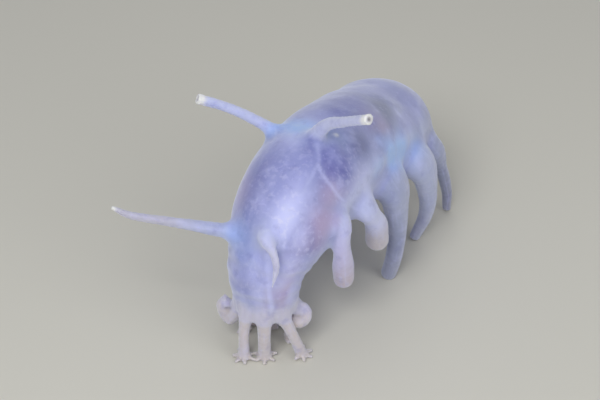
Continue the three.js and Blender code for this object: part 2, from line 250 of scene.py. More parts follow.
# Left feet: place and angle of the root, the points passed, the half widths, the end, and how
# strong each tint of the foot is. The two front ones are lifted off the floor.
LEFT_FEET = [
    (3.7, 10, [[20, 20.6, 52.5], [20.6, 19.6, 43.4], [20, 22.7, 32], [19.4, 25, 24.5]],
     [[4, 3], [3, 2.8], [3.4, 3.2], [4.1, 3.9], [3.9, 3.8]], BALL_END,
     {"cream": 0.55, "rosy": 0.9, "milky": 0.5}),
    (4.5, 0, [[21.2, 37.6, 48.3], [22.9, 40.8, 42.3], [23.3, 44.9, 35.8], [22.8, 47.4, 27.5]],
     [[7.6, 4.5], [5.3, 3.5], [4.1, 3.7], [4.4, 4.3], [4.3, 4.3]], BALL_END,
     {"cream": 0.8, "rosy": 0.3, "milky": 0.9}),
    (5.45, -8, [[22.6, 60.8, 43], [24.4, 61.6, 32.5], [25, 61.9, 22], [24.4, 61.3, 11], [22.4, 62, 2.2]],
     [[9, 6], [8.4, 5.2], [5.6, 4.4], [3.6, 3.5], [3.3, 3.2], [3.1, 3]], BLUNT_END,
     {"cream": 0.1, "grey": 0.55}),
    (6.4, -10, [[24.3, 84.5, 39], [26.6, 88.5, 25], [26, 90, 13], [22.6, 88.8, 2]],
     [[9, 6], [8, 5], [4.3, 3.8], [3.1, 2.9], [2.3, 2.2]], BLUNT_END, {"cream": 0.2, "grey": 0.25}),
    (7.15, -12, [[22.4, 103.5, 34], [24.4, 108.5, 23], [26.2, 112.3, 10], [26.8, 112, 2]],
     [[7, 5], [5, 3.8], [2.8, 2.5], [2.3, 2.1], [1.7, 1.7]], BLUNT_END, {"cream": 0.2, "grey": 0.7}),
]
# Right feet: place of the root and where the sole stands
RIGHT_FEET = [(3.7, -17.5, 23), (4.6, -19.5, 42), (5.5, -21, 64), (6.4, -20.5, 88), (7.3, -19, 111)]
RIGHT_FOOT_SIZES = [[7, 6.5], [5.2, 4.8], [3.6, 3.4], [2.8, 2.8]]
RIGHT_FOOT_TINTS = {"cream": 0.2, "grey": 0.3}
RIGHT_ROOT_ANGLE = 212
HIP_ANGLE = 217  # where a right foot leaves the body, just under its root
HIP_DEPTH = 1.05
HIP_DROP = [-1, 0, -5]  # from there to the first point passed
SHIN = [-3, -1, 16]  # the next one, as seen from the sole
SOLE_HEIGHT = 2.0


def feet():
    """The ten tube feet, the left ones first, each row from the front."""
    made = []
    for place, angle, through, sizes, end, tints in LEFT_FEET:
        points = [body_point(place, angle, ROOT_DEPTH), *placed(through)]
        made.append(Limb("foot", points, sizes, ALONG_BODY, end, tints))
    for place, x, y in RIGHT_FEET:
        root = body_point(place, RIGHT_ROOT_ANGLE, ROOT_DEPTH)
        hip = body_point(place, HIP_ANGLE, HIP_DEPTH) + HIP_DROP
        sole = np.array([x, y, 0.0])
        points = [root, hip, *placed([sole + SHIN, sole + [0, 0, SOLE_HEIGHT]])]
        made.append(Limb("foot", points, RIGHT_FOOT_SIZES, ALONG_BODY, BLUNT_END, RIGHT_FOOT_TINTS))
    return made


# Papillae of the back: place and angle of the root, the points passed, the radii, the end, and
# how strong their tints are
PAPILLAE = [
    (2.62, 133, [[-22.8, 0.2, 49.9], [-36.1, -4.2, 51.5], [-47.5, -7.9, 52.8], [-53.8, -9.2, 54.9]],
     [3.2, 2.2, 1.65, 1.45, 0.75], BALL_END,
     {"cream": 0.5, "grey": 0.35, "milky": 0.1}),
    (2.83, 88, [[2.2, -1.7, 53.5], [5.7, -3.7, 50], [7.1, -5, 44.6], [5.8, -6.2, 36.6]],
     [3.2, 2.5, 1.8, 1.65, 0.7], BALL_END,
     {"cream": 0.4, "grey": 0.1, "milky": 0.6}),
    (4.5, 130, [[-18.3, 36.7, 72.7], [-27.4, 30.8, 79.9], [-35.8, 24.4, 85.1]],
     [3.6, 2.1, 1.75, 1.8], RING_END, {"milky": 0.4}),
    (4.36, 90, [[8.3, 32, 81.6], [17.2, 28.7, 87.6], [26.7, 24.7, 93.3]],
     [3.6, 2.3, 1.75, 1.75], RING_END, {"cream": 0.15, "milky": 0.3}),
]


def papillae():
    """The four long papillae of the back, the front pair first, in each pair the right one first."""
    made = []
    for place, angle, through, radii, end, tints in PAPILLAE:
        points = [body_point(place, angle, PAPILLA_ROOT_DEPTH), *placed(through)]
        sizes = [[r, r] for r in radii]
        made.append(Limb("papilla", points, sizes, UPWARD, end, tints))
    return made


# Tentacles round the mouth. Bearings are degrees round it, 0 at the front, 90 at the left side.
MOUTH = AXIS[0] - STANCE_CENTRE
RIM_RADIUS = 7.6
RIM_DEPTH = 3.0
PALM_HEIGHT = 1.3
DIGITS = 5
DIGIT_SIZES = [[1.05, 1.0], [0.72, 0.72]]
DIGIT_DROOP = -0.15
# Forms: radii from root to palm, degrees between neighbouring digits, length of a digit
STOUT = ([3, 2.05, 1.9, 2.15], 50, 3.8)
BROAD = ([3, 2.4, 2.2, 2.4], 50, 4)
SLIM = ([1.7, 1.7, 1.6, 1.6], 52, 2.7)
CURLED = ([2, 2.1, 2.2, 2.2, 2.2, 2], 34, 2.4)
CLENCHED = ([2.3, 2.2, 2.8, 3.3], 36, 3.4)
STANDING = [  # bearing of the root, bearing of the tip, reach from the mouth's middle, form
    (-21, -21, 10, STOUT),
    (26, 26, 6.6, BROAD),
    (66, 92, 14.4, STOUT),
    (132, 132, 9, SLIM),
    (162, 162, 12.5, SLIM),
    (192, 192, 9.8, SLIM),
    (222, 222, 12.5, SLIM),
    (252, 252, 10, SLIM),
]
RAISED = [  # bearing of the root, the points of the curl, form
    (98, [[7.6, 9.8, 18], [10.4, 10.9, 16.9], [11.3, 9.9, 14.2], [9.6, 8.5, 12.5], [7.8, 8.2, 13]],
     CURLED),
    (298, [[-13.4, 0.5, 12.7], [-15.9, 1.1, 13.8], [-16.5, 1.7, 16.6]], CLENCHED),
]
STALK_TINTS = {"cream": 0.9}
LOBE_TINTS = {"cream": 0.85, "rosy": 0.2}
DIGIT_TINTS = {"cream": 1.0}
KNEE_SHARE = 0.45  # how far down a standing stalk its bend is
KNEE_OUT = 1.2  # and how far that bend stands out from a straight line


def outward(bearing):
    """Level direction away from the mouth at a bearing."""
    angle = math.radians(bearing)
    return np.array([math.sin(angle), -math.cos(angle), 0])


def from_mouth(bearing, radius, height):
    """Point at a bearing and distance from the mouth's middle, and at a height."""
    point = MOUTH + outward(bearing) * radius
    point[2] = height
    return point


def digits(palm, ahead, sideways, form):
    """Small fingers spread like a fan from the middle of the palm."""
    _, spread, length = form
    made = []
    for k in range(DIGITS):
        turn = math.radians((k - (DIGITS - 1) / 2) * spread)
        end = palm + (ahead * math.cos(turn) + sideways * math.sin(turn)) * length
        made.append(Limb("digit", [palm, end], DIGIT_SIZES, UPWARD, tints=DIGIT_TINTS))
    return made


def tentacles():
    """Ten stalks with their digits: eight stand on the floor and two are raised and curled."""
    made = []
    for bearing, tip_bearing, reach, form in STANDING:
        root = from_mouth(bearing, RIM_RADIUS, MOUTH[2] + RIM_DEPTH)
        palm = from_mouth(tip_bearing, reach, PALM_HEIGHT)
        knee = root + (palm - root) * KNEE_SHARE + outward(bearing) * KNEE_OUT
        ahead = outward(tip_bearing) + [0, 0, DIGIT_DROOP]
        sideways = outward(tip_bearing + 90)
        sizes = [[r, r] for r in form[0]]
        made.append(Limb("tentacle", [root, knee, palm], sizes, ALONG_BODY, tints=STALK_TINTS))
        made += digits(palm, ahead, sideways, form)
    for bearing, curl, form in RAISED:
        root = from_mouth(bearing, RIM_RADIUS, MOUTH[2] + RIM_DEPTH)
        bends = placed(curl)
        ahead = unit(bends[-1] - bends[-2])
        sideways = unit(np.cross(outward(bearing), ahead))
        sizes = [[r, r] for r in form[0]]
        made.append(Limb("tentacle", [root, *bends], sizes, ALONG_BODY, tints=LOBE_TINTS))
        made += digits(bends[-1], ahead, sideways, form)
    return made


LIP_RADIUS = 3.4
LIP_THICKNESS = 1.3
LIP_DROP = 1.6  # how far the middle of the lip ring hangs under the mouth's middle


def lip_surface(rings=48, sides=16):
    """Ring of lips: a circle of the lip's thickness carried round the mouth, closed on itself."""
    turn = np.linspace(0, 2 * np.pi, rings, endpoint=False)[:, None]
    round_lip = np.linspace(0, 2 * np.pi, sides, endpoint=False)[None, :]
    radius = LIP_RADIUS + LIP_THICKNESS * np.cos(round_lip)
    height = LIP_THICKNESS * np.sin(round_lip) + 0 * turn - LIP_DROP
    ring = np.stack([radius * np.cos(turn), radius * np.sin(turn), height], axis=-1)
    return ring + MOUTH


# Fusing the surfaces to one skin


def grid_faces(rings, sides, first, closed):
    """Four-sided faces of a grid that wraps round, as vertex numbers counted from first."""
    i = np.arange(rings if closed else rings - 1)[:, None]
    j = np.arange(sides)[None, :]
    ahead, beside = (i + 1) % rings, (j + 1) % sides
    faces = np.stack([i * sides + j, i * sides + beside, ahead * sides + beside, ahead * sides + j], -1)
    return faces.reshape(-1, 4) + first


def cap_faces(sides, ring_start, pole):
    """Three-sided faces that close one ring with the point at its pole."""
    j = np.arange(sides)
    beside = (j + 1) % sides
    poles = np.full(sides, pole)
    return np.stack([ring_start + j, ring_start + beside, poles], axis=-1)


def fused_skin(surfaces, rings_of_lips):
    """All surfaces joined in one mesh and remade as one closed skin of even small faces."""
    points, quads, triangles, count = [], [], [], 0
    for grid, closed in [(s, False) for s in surfaces] + [(s, True) for s in rings_of_lips]:
        rings, sides, _ = grid.shape
        points.append(grid.reshape(-1, 3))
        quads.append(grid_faces(rings, sides, count, closed))
        size = rings * sides
        if not closed:
            points.append(np.stack([grid[0].mean(0), grid[-1].mean(0)]))
            triangles.append(cap_faces(sides, count, count + size))
            triangles.append(cap_faces(sides, count + size - sides, count + size + 1))
            size += 2
        count += size
    faces = np.vstack(quads).tolist() + np.vstack(triangles).tolist()
    raw = bpy.data.meshes.new("flesh_parts")
    raw.from_pydata(np.vstack(points) * MM, [], faces)
    holder = bpy.data.objects.new("flesh_parts", raw)
    bpy.context.scene.collection.objects.link(holder)
    remesh = holder.modifiers.new("fuse", "REMESH")
    remesh.mode = "VOXEL"
    remesh.voxel_size = PIECE
    remesh.adaptivity = 0
    seen = holder.evaluated_get(bpy.context.evaluated_depsgraph_get())
    mesh = bpy.data.meshes.new_from_object(seen)
    bpy.data.objects.remove(holder)
    bpy.data.meshes.remove(raw)
    return mesh


def read_points(mesh):
    """The mesh's points, in millimetres."""
    flat = np.empty(len(mesh.vertices) * 3, np.float32)
    mesh.vertices.foreach_get("co", flat)
    return flat.reshape(-1, 3).astype(float) / MM


def write_points(mesh, points):
    """Puts points in millimetres into the mesh."""
    mesh.vertices.foreach_set("co", (points * MM).astype(np.float32).ravel())
    mesh.update()


def read_normals(mesh):
    """The outward direction at every point."""
    flat = np.empty(len(mesh.vertices) * 3, np.float32)
    mesh.vertex_normals.foreach_get("vector", flat)
    return flat.reshape(-1, 3).astype(float)


def read_edges(mesh):
    """The pairs of neighbouring points, by number."""
    flat = np.empty(len(mesh.edges) * 2, np.int32)
    mesh.edges.foreach_get("vertices", flat)
    return flat.reshape(-1, 2)


def neighbour_mean(values, edges):
    """Mean of the neighbours' values at every point."""
    count = len(values)
    a, b = edges.T
    number = np.bincount(a, minlength=count) + np.bincount(b, minlength=count)
    total = np.empty_like(values)
    for k in range(values.shape[1]):
        column = values[:, k]
        total[:, k] = np.bincount(a, column[b], count) + np.bincount(b, column[a], count)
    return total / np.maximum(number, 1)[:, None]


def relax(points, edges, amount, rounds):
    """Each round moves every point part of the way to the mean of its neighbours."""
    for _ in range(rounds):
        points = points + (neighbour_mean(points, edges) - points) * amount
    return points


SMOOTHING_ROUNDS = 6
SMOOTHING_PULL = 0.5
SMOOTHING_PUSH = 0.53


def smooth_steps(points, edges):
    """Takes the small steps out of the skin and keeps its size: a pull and then a larger push."""
    for _ in range(SMOOTHING_ROUNDS):
        points = relax(points, edges, SMOOTHING_PULL, 1)
        points = relax(points, edges, -SMOOTHING_PUSH, 1)
    return points


# Where each point of the skin lies on the animal

AXIS_SAMPLES = 321


def on_body(points):
    """Place, angle and height over the body's surface for each point. The nearest sample of the
    axis, moved along by what is left, gives the place. The height comes from how far out the point
    is as a share of the section's radius, joined at the rounded ends with how far it is into the
    end, and divided by how fast that share grows."""
    samples = np.linspace(0, LAST, AXIS_SAMPLES)
    line = spline(AXIS, samples / LAST) - STANCE_CENTRE
    square = (points**2).sum(1)[:, None] - 2 * points @ line.T + (line**2).sum(1)
    nearest = square.argmin(1)
    speed = np.linalg.norm(np.gradient(line, samples, axis=0), axis=1)[nearest]
    along, side, dorsal = body_frame(samples)
    offset = points - line[nearest]
    place = samples[nearest] + (offset * along[nearest]).sum(1) / speed
    left = (offset * side[nearest]).sum(1)
    up = (offset * dorsal[nearest]).sum(1)
    half, back, belly = spline(SIZES, np.clip(place, 0, LAST) / LAST).T
    height = np.where(up > 0, back, belly)
    power = np.where(up > 0, 1.0, SOLE_SQUARENESS)
    angle = np.arctan2(up / height, np.sign(left) * np.abs(left / half) ** (1 / power))
    radius = np.hypot(half * np.abs(np.cos(angle)) ** power, height * np.sin(angle))
    out = np.hypot(left, up)
    into_mouth = np.maximum(0, 1 - place / MOUTH_CAP)
    into_tail = np.maximum(0, 1 - (LAST - place) / TAIL_CAP)
    end_length = speed * np.where(place < LAST / 2, MOUTH_CAP, TAIL_CAP)
    into = into_mouth + into_tail
    far_out = np.maximum(np.hypot(out / radius, into), SMALL)
    growth = np.hypot(out / radius**2, into / end_length) / far_out
    over = (far_out - 1) / np.maximum(growth, SMALL)
    return np.clip(place, 0, LAST), angle, over


LIMB_SAMPLES = 64
REACH = 6.0  # a limb is looked for this far from its surface
PAST_TIP = 1.2  # the largest share of a limb's length, past its tip


def on_limbs(points, limbs):
    """For each point the nearest limb, the share of its length, the height over its surface and
    the angle round it. Far from every limb the number is -1."""
    count = len(points)
    number = np.full(count, -1)
    share = np.zeros(count)
    over = np.full(count, REACH)
    round_limb = np.zeros(count)
    samples = np.linspace(0, 1, LIMB_SAMPLES)
    for n, limb in enumerate(limbs):
        centre, wide, across, along, size = limb.frames(samples)
        margin = REACH + size.max()
        near = np.all((points > centre.min(0) - margin) & (points < centre.max(0) + margin), axis=1)
        found = np.flatnonzero(near)
        if not len(found):
            continue
        p = points[found]
        square = (p**2).sum(1)[:, None] - 2 * p @ centre.T + (centre**2).sum(1)
        k = square.argmin(1)
        offset = p - centre[k]
        ahead = (offset * along[k]).sum(1)
        x = (offset * wide[k]).sum(1)
        y = (offset * across[k]).sum(1)
        past = np.where(k == LIMB_SAMPLES - 1, np.maximum(ahead, 0), 0)
        mean = size[k].mean(1)
        height = (np.sqrt((x / size[k, 0]) ** 2 + (y / size[k, 1]) ** 2 + (past / mean) ** 2) - 1) * mean
        better = height < over[found]
        f = found[better]
        number[f] = n
        over[f] = height[better]
        share[f] = np.clip(samples[k] + ahead / limb.length, 0, PAST_TIP)[better]
        round_limb[f] = np.arctan2(y, x)[better]
    return number, share, over, round_limb


def wrap(angle):
    """An angle brought between minus and plus half a turn."""
    return (angle + np.pi) % (2 * np.pi) - np.pi


# The skin

LIMBS = feet() + papillae() + tentacles()
KINDS = np.array([limb.kind for limb in LIMBS] + ["none"])
LENGTHS = np.array([limb.length for limb in LIMBS] + [1.0])
THICKNESSES = np.array([limb.sizes.mean() for limb in LIMBS] + [1.0])
TINTS = {
    name: np.array([limb.tints.get(name, 0) for limb in LIMBS] + [0.0])
    for name in ("cream", "grey", "milky", "rosy")
}
# Rings and sides of each kind of surface
MESHING = {"foot": (48, 40), "papilla": (48, 28), "tentacle": (28, 24), "digit": (6, 12)}
# How far the hollow round a root of each kind reaches
FILLET = {"foot": 5.0, "papilla": 3.6, "tentacle": 1.8, "digit": 0.8}
FILLET_PULL = 0.5
FILLET_ROUNDS = 90

surfaces = [body_surface()] + [limb.surface(*MESHING[limb.kind]) for limb in LIMBS]
mesh = fused_skin(surfaces, [lip_surface()])
mesh.name = "sea_pig_skin"
edges = read_edges(mesh)
points = smooth_steps(read_points(mesh), edges)

place, angle, over_body = on_body(points)
number, share, over_limb, round_limb = on_limbs(points, LIMBS)
kind = KINDS[number]
fillet = np.select([kind == name for name in FILLET], list(FILLET.values()), 1.0)
from_root = np.maximum(np.maximum(over_body, over_limb), 0)
hollow = bump_at(from_root, fillet)
hollow[number < 0] = 0
points = relax(points, edges, FILLET_PULL * hollow[:, None], FILLET_ROUNDS)

# Lie of the skin: how far along the body, and where round it, in millimetres
AXIS_PLACES = np.linspace(0, LAST, AXIS_SAMPLES)
AXIS_STEPS = np.linalg.norm(np.diff(spline(AXIS, AXIS_PLACES / LAST), axis=0), axis=1)
AXIS_RUN = np.concatenate([[0], np.cumsum(AXIS_STEPS)])


def run_at(place):
    """Millimetres along the axis from the mouth to a place: its steps added up."""
    return np.interp(place, AXIS_PLACES, AXIS_RUN)


LIMB_BEGINS = (0.4, 3.5)  # heights over the body between which a limb's own look begins
SPOTS_END = (1.5, 6.5)  # heights over which the body's spots fade out on the limbs

run = run_at(place)
lay = np.stack([GIRTH * np.cos(angle), GIRTH * np.sin(angle), run], axis=-1)
along_limb = share * LENGTHS[number]
on_limb = ease(*LIMB_BEGINS, over_body)
on_trunk = 1 - on_limb
spotted = 1 - ease(*SPOTS_END, over_body)
is_foot = (kind == "foot") * on_limb
is_papilla = (kind == "papilla") * on_limb
is_tentacle = np.isin(kind, ["tentacle", "digit"]) * on_limb

OUTLINE_LUMP = 6.0
OUTLINE_PUSH = 0.35
OUTLINE_SEED = 40


def patch(at_place, at_degrees, long, wide, strength=1.0, seed=0):
    """Soft spot on the body: a bell over the distance from its middle, long along the body and
    wide round it, with its outline pushed about by lumps."""
    wobble = lumps(lay, OUTLINE_LUMP, OUTLINE_SEED + seed) * OUTLINE_PUSH
    d_long = (run - run_at(at_place)) / long
    d_wide = wrap(angle - math.radians(at_degrees)) * GIRTH / wide
    distance = np.hypot(d_long, d_wide) * (1 + wobble)
    return strength * bump_at(distance, 1.0) * spotted


ROUTE_SAMPLES = 40  # for each stretch of a route
FAR_OFF = 99.0


def band(route, width, strength=1.0):
    """Soft line on the body along a route of (place, degrees) points: a bell over the distance
    from the nearest of many points of the route's curve, in millimetres."""
    curve = spline(route, np.linspace(0, 1, ROUTE_SAMPLES * (len(route) - 1)))
    nearest = np.full(len(points), FAR_OFF)
    for at, turn in zip(run_at(curve[:, 0]), np.radians(curve[:, 1])):
        nearest = np.minimum(nearest, np.hypot(run - at, wrap(angle - turn) * GIRTH))
    return strength * bump_at(nearest, width) * on_trunk


def beside(start, end):
    """Distance of each point from the straight line between two points."""
    start, end = np.array(start), np.array(end)
    along = np.clip((points - start) @ (end - start) / ((end - start) ** 2).sum(), 0, 1)
    return np.linalg.norm(points - start - along[:, None] * (end - start), axis=1)


def strongest(amounts):
    """The largest of several amounts at every point."""
    return np.max(np.stack(list(amounts)), axis=0)


# Lines of the skin: routes of (place, degrees)
NECK_LINE = [(0.68, 52), (1.27, 56), (1.74, 61), (2.18, 68), (2.56, 74), (2.78, 80)]
SPINE_LINE = [(4.36, 88), (4.23, 75), (4.05, 64), (3.82, 62), (3.6, 62), (3.4, 63)]
FLANK_LINE = [(3.98, 62), (3.9, 50), (3.86, 23), (3.99, 3), (4.31, -24)]
RIGHT_BACK_LINE = [(0.5, 125), (1.5, 128), (2.6, 126), (3.5, 122), (4.4, 122), (5.5, 120), (7, 115)]

neck_line = band(NECK_LINE, width=2.2, strength=0.75)
lines = strongest([
    neck_line,
    band(SPINE_LINE, width=0.7, strength=0.45),
    band(FLANK_LINE, width=0.55, strength=0.75),
    band(RIGHT_BACK_LINE, width=1.1, strength=0.15),
])

# The swollen edge of each flank that a row of feet hangs from
LEFT_RIDGE = [(3.5, 6), (4.03, 8), (4.63, 12), (5.04, 13), (5.43, 16), (6.03, 16), (6.84, 17), (7.4, 12)]
RIGHT_RIDGE = [(at, 180 - turn) for at, turn in LEFT_RIDGE]
RIDGE_WIDTH = 3.4
ridge = strongest([band(LEFT_RIDGE, RIDGE_WIDTH), band(RIGHT_RIDGE, RIDGE_WIDTH)])


# Relief of the skin, in millimetres along its normals

NECK_BEGINS = (0.6, 1.2)  # places between which the folds of the neck set in
NECK_ENDS = (2.2, 2.9)
COLLAR_ENDS = (0.6, 1.3)
FLUTES_BEGIN = (0.1, 0.5)
FLUTES = 26  # round the collar
FLUTE_DEPTH = 0.13
LINE_HEIGHT = 0.12
RIDGE_HEIGHT = 0.4
WART = (4.56, 66, 0.9, 0.9)  # place, degrees, long, wide
WART_HEIGHT = 0.7
CREASES = [  # where the two raised tentacles close up
    ((17.0, -47.4, 14.3), (20.2, -47.1, 14.5)),
    ((-3.0, -57.2, 17.5), (-0.3, -56.6, 17.8)),
]
CREASE_WIDTH = 0.55
CREASE_DEPTH = 0.5
MOUTH_WIDTH = 1.7
MOUTH_DEPTH = 2.2
VENT = body_point(7.93, -60)
VENT_WIDTH = 1.0
VENT_DEPTH = 1.2
VENT_RING = 2.2  # radius of the swollen ring round the vent
VENT_RING_WIDTH = 0.9
VENT_RING_HEIGHT = 0.45
FLOOR_LIFT = 0.04


def folds(along, depth, spacing):
    """Folds across the way along: a sine of the given depth and spacing."""
    return depth * np.sin(2 * np.pi * along / spacing)


neck = ease(*NECK_BEGINS, place) * (1 - ease(*NECK_ENDS, place)) * on_trunk
collar = 1 - ease(*COLLAR_ENDS, place + 0.12 * lumps(lay, 4, seed=7))
fluted = collar * on_trunk * ease(*FLUTES_BEGIN, place) * (1 + 0.7 * lumps(points, 5, seed=9))
wart = patch(*WART) * on_trunk
crease = strongest(bump_at(beside(*ends), CREASE_WIDTH) for ends in CREASES)
mouth_distance = np.linalg.norm((points - MOUTH)[:, :2], axis=1)
under_mouth = (points[:, 2] < MOUTH[2] + 2) * (1 - is_tentacle)
mouth_pit = bump_at(mouth_distance, MOUTH_WIDTH) * under_mouth
vent_distance = np.linalg.norm(points - VENT, axis=1)
vent_pit = bump_at(vent_distance, VENT_WIDTH)
vent_ring = bump_at(vent_distance - VENT_RING, VENT_RING_WIDTH)

relief = on_trunk * (0.42 * lumps(points, 12, seed=1) + 0.16 * lumps(points, 5, seed=2))
relief += on_limb * 0.10 * lumps(points, 4, seed=4)
relief += neck * folds(run + 1.6 * lumps(lay, 7, seed=3), depth=0.16, spacing=4.6)
relief += is_foot * folds(along_limb + 0.8 * lumps(points, 4, seed=5), depth=0.035, spacing=2.3)
relief += is_papilla * folds(along_limb + lumps(points, 3, seed=6), depth=0.05, spacing=2.6)
relief += is_tentacle * folds(along_limb, depth=0.07, spacing=1.9)
relief += fluted * FLUTE_DEPTH * np.cos(FLUTES * angle + 1.6 * lumps(points, 6, seed=8))
relief += LINE_HEIGHT * lines + RIDGE_HEIGHT * ridge + WART_HEIGHT * wart - CREASE_DEPTH * crease
relief += VENT_RING_HEIGHT * vent_ring - VENT_DEPTH * vent_pit

write_points(mesh, points)
points = points + read_normals(mesh) * relief[:, None]
points[:, 2] += mouth_pit * MOUTH_DEPTH
points[:, 2] = np.maximum(points[:, 2], FLOOR_LIFT)
write_points(mesh, points)


# Colour amounts of the skin, each from 0 to 1

MILKY_SPOTS = [  # place, degrees, long, wide, strength
    (3.14, 67, 6.5, 6, 1.0),
    (3.4, 64, 4, 5, 0.7),
    (2.9, 47, 4, 5, 0.6),
    (3.3, 104, 5, 5, 0.35),
    (4.4, 98, 4, 6, 0.75),
    (6.2, 40, 6, 6, 0.35),
    (2.1, 85, 7, 6, 0.5),
    (1.5, 75, 7, 7, 0.55),
    (2.2, 126, 8, 4, 0.4),
    (4.5, 3, 5, 6, 0.8),
    (4.55, 14, 5, 4, 0.5),
    (2.15, 42, 8, 6, 0.65),
    (1.4, 20, 8, 5, 0.5),
    (3.2, 150, 7, 7, 0.3),
    (5.2, 150, 9, 8, 0.3),
    (6.6, 165, 8, 8, 0.3),
]
VIOLET_SPOTS = [
    (4.19, 80, 4, 5, 0.6),
    (4.24, 58, 4.5, 5, 1.0),
    (4.24, 40, 4.5, 5, 1.0),
    (4.08, 47, 4, 4.5, 0.9),
    (4.6, 46, 5, 4, 0.6),
    (2.88, 34, 7, 8, 0.45),
    (3.3, 118, 10, 6, 0.75),
    (3.63, 85, 7, 6, 0.3),
    (2.68, 46, 5, 5, 0.5),
    (2.74, 36, 5, 5, 0.5),
    (3.75, 104, 5, 6, 0.4),
    (5.14, 83, 7, 7, 0.7),
    (5.53, 91, 11, 11, 1.0),
    (6.6, 80, 8, 8, 0.45),
    (6.3, 100, 8, 7, 0.4),
    (3.4, 175, 6, 7, 0.6),
    (4.6, 160, 6, 7, 0.7),
    (5.8, 140, 7, 6, 0.5),
]
GREY_SPOTS = [
    (5.46, 45, 9, 8, 0.6),
    (4.15, 28, 4, 5, 0.15),
    (4.75, 41, 8, 8, 0.45),
    (5.94, 58, 10, 9, 1.1),
    (3.6, 35, 5, 8, 0.3),
    (7.3, 18, 9, 8, 0.5),
    (3.3, 118, 7, 5, 0.35),
    (5.6, 165, 8, 8, 0.6),
    (7.0, 140, 9, 9, 0.5),
]
# Painted highlights: the flesh's own light blue made brighter in patches on both flanks over the feet
# and round the papillae's roots
BLUE_HIGHLIGHT_SPOTS = [
    (5.45, 14, 6, 5, 1.4),
    (5.85, 10, 7, 6, 1.3),
    (6.3, 4, 6, 5, 0.5),
    (5.0, 10, 5, 3.5, 0.5),
    (4.48, 106, 4, 10, 1.0),
    (4.5, 130, 4, 5, 0.9),
    (2.55, 122, 5, 8, 0.45),
    (5.3, 178, 6, 6, 0.5),
    (6.3, 176, 6, 6, 0.5),
]
ROSY_SPOTS = [
    (3.29, 26, 6, 7, 0.75),
    (3.0, 34, 5, 6, 0.5),
    (1.6, 34, 9, 7, 0.7),
    (1.4, 62, 6, 4, 0.4),
    (3.76, 34, 5, 5, 0.6),
    (3.24, 144, 8, 6, 0.5),
    (5.5, 42, 6, 6, 0.45),
]
SPECKLED_SPOTS = [
    (3.63, 85, 9, 8, 0.5),
    (3.05, 68, 7, 6, 1.0),
    (2.85, 36, 7, 6, 0.8),
    (4.3, 30, 6, 6, 0.6),
    (3.3, 97, 8, 7, 0.5),
    (2.0, 85, 8, 8, 0.5),
    (4.3, 120, 8, 8, 0.4),
]

HAZE = 0.25
HAZE_FULL = 0.8
ROOT_GLOW_REACH = 3.0
FRONT_RIDGE_ENDS = (4.9, 5.2)
CHALK_BEGINS = (0.93, 1.0)  # shares of a papilla's length
RING_PIT_WIDTH = 0.95
RING_PIT_REACH = 2.2


def spots(rows, seed):
    """The strongest of a table's soft spots at every point, each with lumps of its own."""
    return strongest(patch(*row, seed=seed + i) for i, row in enumerate(rows))


def haze(low, clouds):
    """Faint clouds of a tint on the trunk, where the lumps are higher than low."""
    return HAZE * ease(low, HAZE_FULL, clouds) * on_trunk


def ring_pit_shade(limb):
    """Painted shade in the pit of a ringed tip: a bell over the distance from the limb's axis, near its
    end.
    """
    tip_axis = heading(limb.points, 1.0)
    offset = points - limb.points[-1]
    ahead = offset @ tip_axis
    aside = np.linalg.norm(offset - ahead[:, None] * tip_axis, axis=1)
    return bump_at(aside, RING_PIT_WIDTH) * (np.abs(ahead) < RING_PIT_REACH)


tint = {name: values[number] for name, values in TINTS.items()}
mottle = lumps(points, 5, seed=11) * 0.6 + lumps(points, 2.4, seed=12) * 0.4
sole_side = np.clip(-np.sin(angle), 0, 1) * on_trunk
# Painted glow: the trunk made paler close round the root of every limb, taking away the shade there
root_glow = np.exp(-np.maximum(over_limb, 0) / ROOT_GLOW_REACH) * on_trunk * (number >= 0)
front_ridge = ridge * (1 - ease(*FRONT_RIDGE_ENDS, place))
collar_tone = collar * (1 - is_foot) * (1 - is_papilla)

amounts = {
    # pale: the limbs' own paler flesh, the pale lines, the sole and the ridge, and the painted glow
    # round the roots
    "pale": strongest([0.85 * on_limb, 0.6 * lines, 0.6 * sole_side, 0.6 * root_glow, 0.7 * ridge]),
    "grey": strongest([
        spots(GREY_SPOTS, 40) + haze(0.1, lumps(points, 10, seed=14)),
        on_limb * tint["grey"] * (0.65 + 0.35 * ease(0.25, 0.8, share)),
    ]),
    "violet": spots(VIOLET_SPOTS, 20) + haze(0.2, lumps(points, 8, seed=13)),
    "rosy": strongest([
        spots(ROSY_SPOTS, 100),
        is_foot * tint["rosy"] * ease(0.1, 0.7, share),
        is_tentacle * tint["rosy"],
    ]),
    "milky": strongest([
        spots(MILKY_SPOTS, 0) + haze(0.35, mottle),
        0.6 * lines,
        0.8 * neck_line,
        0.45 * front_ridge,
        0.8 * collar_tone,
        is_foot * tint["milky"] * ease(0.15, 0.45, share) * (1 - ease(0.6, 0.95, share)),
        is_papilla * tint["milky"],
    ]),
    # painted highlights: the bright blue patches
    "blue_highlight": spots(BLUE_HIGHLIGHT_SPOTS, 60),
    "cream": strongest([
        0.55 * collar_tone,
        is_foot * tint["cream"] * ease(0.45, 1.0, share),
        is_papilla * tint["cream"] * ease(0.2, 0.55, share),
        is_tentacle * tint["cream"],
    ]),
    "chalk": strongest([is_papilla * ease(*CHALK_BEGINS, share), 0.7 * wart]),
    # painted shade: dark in the mouth, the vent, the creases of the raised tentacles and the pits of the
    # ringed tips
    "pit": strongest(
        [mouth_pit, 0.8 * vent_pit, 0.5 * crease]
        + [0.85 * ring_pit_shade(limb) for limb in LIMBS if limb.end is RING_END]
    ),
    "speckled": spots(SPECKLED_SPOTS, 80),
    "limb": on_limb,
}
for name, value in amounts.items():
    attribute = mesh.attributes.new(name, "FLOAT", "POINT")
    attribute.data.foreach_set("value", np.clip(value, 0, 1).astype(np.float32))

